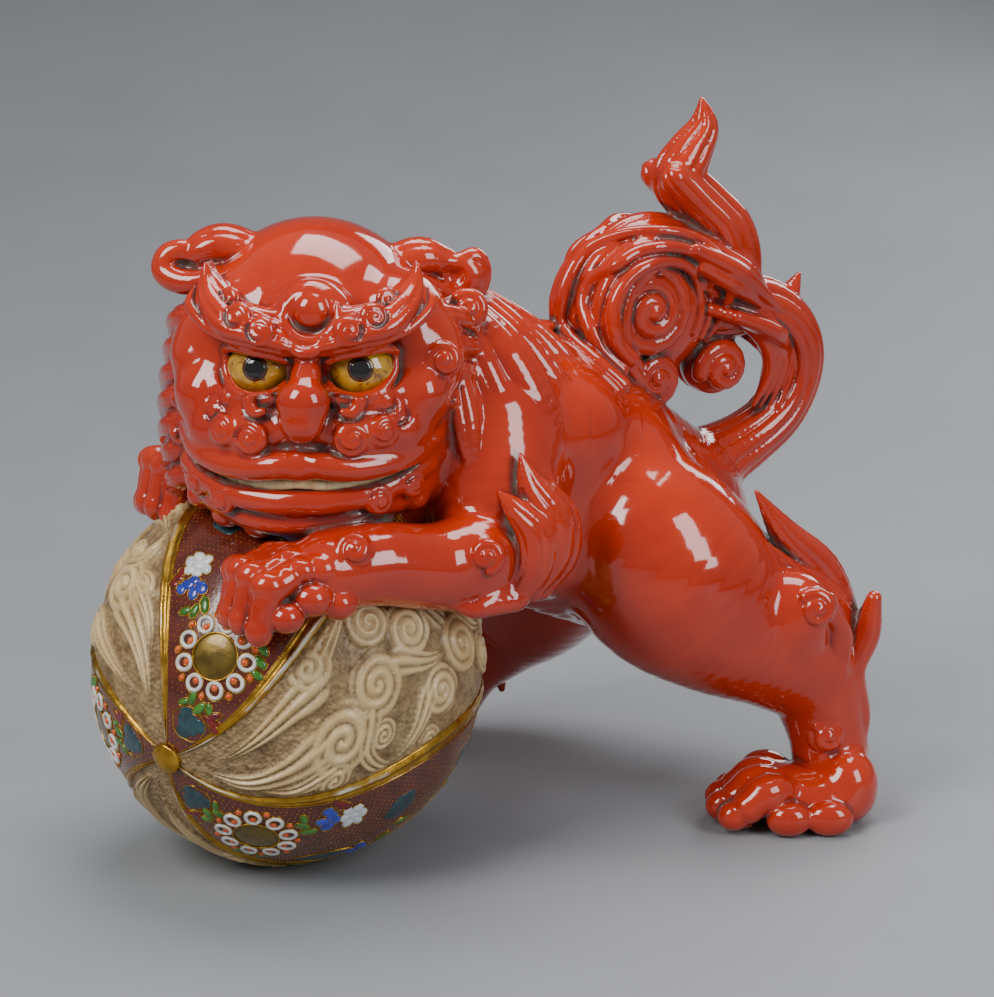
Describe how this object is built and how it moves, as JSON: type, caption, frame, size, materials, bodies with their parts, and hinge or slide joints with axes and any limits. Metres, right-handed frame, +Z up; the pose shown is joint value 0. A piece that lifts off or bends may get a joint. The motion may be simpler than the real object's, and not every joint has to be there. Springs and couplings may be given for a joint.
{
  "type": "foo dog statue",
  "caption": "Glazed porcelain guardian lion dog resting both forepaws on a large decorated ball, with a curled flame tail.",
  "frame": {"origin": "centre of the overall box, on the surface that the statue stands on", "axes": "+Z up; -Y towards the viewer of the lion's face; +X towards the tail end, the longest side"},
  "size_m": [0.292, 0.2244, 0.2642],
  "materials": {
    "vermilion_glaze": "thick glossy vermilion glaze, thinner and greyer in the crevices",
    "amber_eye": "glossy amber glaze mottled brown",
    "black_pupil": "glossy black",
    "ivory_teeth": "cream glaze with worn gilding",
    "bare_porcelain": "unglazed porcelain",
    "cream_relief": "matt cream slip with a brown wash in the recesses",
    "brown_brocade": "red-brown enamel under small gold dots",
    "gilding": "burnished gilding over raised slip",
    "white_enamel": "raised white enamel",
    "blue_enamel": "raised blue enamel",
    "green_enamel": "raised green enamel",
    "teal_enamel": "dark teal enamel"
  },
  "bodies": {
    "root": {"ball_blossoms": "blue_enamel", "ball_boss_front": "gilding", "ball_boss_rear": "gilding", "ball_brocade_panels": "brown_brocade", "ball_front_shell": "bare_porcelain", "ball_gilt_bands": "gilding", "ball_leaves": "green_enamel", "ball_medallions": "gilding", "ball_petals": "white_enamel", "ball_rear_shell": "bare_porcelain", "ball_relief_panels": "cream_relief", "ball_teal_patches": "teal_enamel", "beard_curls": "vermilion_glaze", "brow_left": "vermilion_glaze", "brow_right": "vermilion_glaze", "cheek_mane_left": "vermilion_glaze", "cheek_mane_right": "vermilion_glaze", "ear_left": "vermilion_glaze", "ear_right": "vermilion_glaze", "elbow_tuft_left": "vermilion_glaze", "elbow_tuft_right": "vermilion_glaze", "eye_left": "amber_eye", "eye_right": "amber_eye", "fangs": "ivory_teeth", "forehead_jewel": "vermilion_glaze", "foreleg_curls_left": "vermilion_glaze", "foreleg_curls_right": "vermilion_glaze", "foreleg_left": "vermilion_glaze", "foreleg_right": "vermilion_glaze", "forepaw_left": "vermilion_glaze", "forepaw_right": "vermilion_glaze", "head_shell": "vermilion_glaze", "hindleg_curls_left": "vermilion_glaze", "hindleg_curls_right": "vermilion_glaze", "hindleg_left": "vermilion_glaze", "hindleg_right": "vermilion_glaze", "hindpaw_left": "vermilion_glaze", "hindpaw_right": "vermilion_glaze", "hock_tuft_left": "vermilion_glaze", "hock_tuft_right": "vermilion_glaze", "lower_jaw": "vermilion_glaze", "mane_crest": "vermilion_glaze", "mane_lock_left": "vermilion_glaze", "mane_lock_right": "vermilion_glaze", "muzzle": "vermilion_glaze", "nose": "vermilion_glaze", "pupil_left": "black_pupil", "pupil_right": "black_pupil", "tail_flame": "vermilion_glaze", "tail_plume": "vermilion_glaze", "tail_scrolls": "vermilion_glaze", "tail_stem": "vermilion_glaze", "teeth_strip": "ivory_teeth", "torso_shell": "vermilion_glaze", "whisker_curls_left": "vermilion_glaze", "whisker_curls_right": "vermilion_glaze"}
  },
  "joints": []
}
